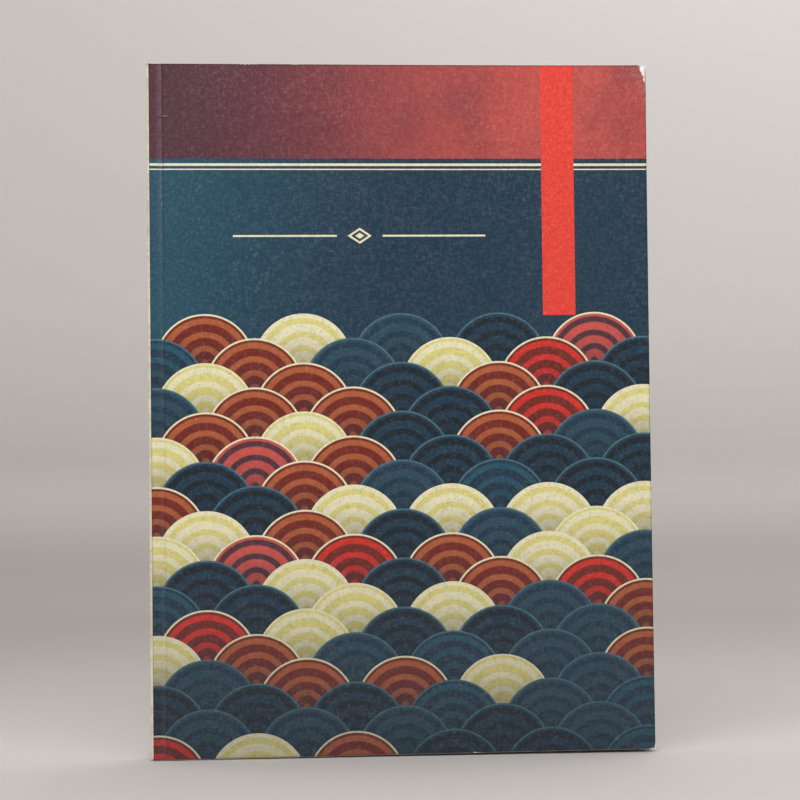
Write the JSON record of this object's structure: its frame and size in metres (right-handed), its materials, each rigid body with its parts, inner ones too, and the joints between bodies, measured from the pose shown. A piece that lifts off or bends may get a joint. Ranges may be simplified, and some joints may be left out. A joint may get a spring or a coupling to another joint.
{
  "type": "paperback book",
  "caption": "Perfect-bound softcover book with loose leaves glued at the spine and card covers that fold open on pressed score lines.",
  "frame": {"origin": "middle of the footprint, on the surface that the book stands on", "axes": "+Z from tail to head along the spine, +X from the spine to the fore edge, +Y from the front cover to the back cover"},
  "size_m": [0.175, 0.0104, 0.24],
  "materials": {
    "leaf_paper": "coated white paper, cut edges",
    "binding_glue": "hot-melt glue",
    "cover_print": "printed card with a glossy laminate",
    "spine_card": "cream card with a glossy laminate"
  },
  "bodies": {
    "book_block": {"leaf_01": "leaf_paper", "leaf_02": "leaf_paper", "leaf_03": "leaf_paper", "leaf_04": "leaf_paper", "leaf_05": "leaf_paper", "leaf_06": "leaf_paper", "leaf_07": "leaf_paper", "leaf_08": "leaf_paper", "leaf_09": "leaf_paper", "leaf_10": "leaf_paper", "leaf_11": "leaf_paper", "leaf_12": "leaf_paper", "leaf_13": "leaf_paper", "leaf_14": "leaf_paper", "leaf_15": "leaf_paper", "leaf_16": "leaf_paper", "leaf_17": "leaf_paper", "leaf_18": "leaf_paper", "leaf_19": "leaf_paper", "leaf_20": "leaf_paper", "leaf_21": "leaf_paper", "leaf_22": "leaf_paper", "leaf_23": "leaf_paper", "leaf_24": "leaf_paper", "leaf_25": "leaf_paper", "leaf_26": "leaf_paper", "leaf_27": "leaf_paper", "leaf_28": "leaf_paper", "leaf_29": "leaf_paper", "leaf_30": "leaf_paper", "leaf_31": "leaf_paper", "leaf_32": "leaf_paper", "leaf_33": "leaf_paper", "leaf_34": "leaf_paper", "leaf_35": "leaf_paper", "leaf_36": "leaf_paper", "leaf_37": "leaf_paper", "leaf_38": "leaf_paper", "leaf_39": "leaf_paper", "leaf_40": "leaf_paper", "leaf_41": "leaf_paper", "leaf_42": "leaf_paper", "leaf_43": "leaf_paper", "leaf_44": "leaf_paper", "leaf_45": "leaf_paper", "leaf_46": "leaf_paper", "leaf_47": "leaf_paper", "leaf_48": "leaf_paper", "spine_glue": "binding_glue", "cover_spine": "spine_card"},
    "front_cover": {"cover_front": "cover_print"},
    "back_cover": {"cover_back": "cover_print"}
  },
  "joints": [
    {"name": "front_cover_hinge", "type": "hinge", "parent": "book_block", "child": "front_cover", "pos_m": [-0.08213, -0.00402, 0.12], "axis": [0, 0, -1], "range_deg": [0, 175], "stiffness_Nm_per_rad": 0.004},
    {"name": "back_cover_hinge", "type": "hinge", "parent": "book_block", "child": "back_cover", "pos_m": [-0.08213, 0.00402, 0.12], "axis": [0, 0, 1], "range_deg": [0, 175], "stiffness_Nm_per_rad": 0.004}
  ]
}
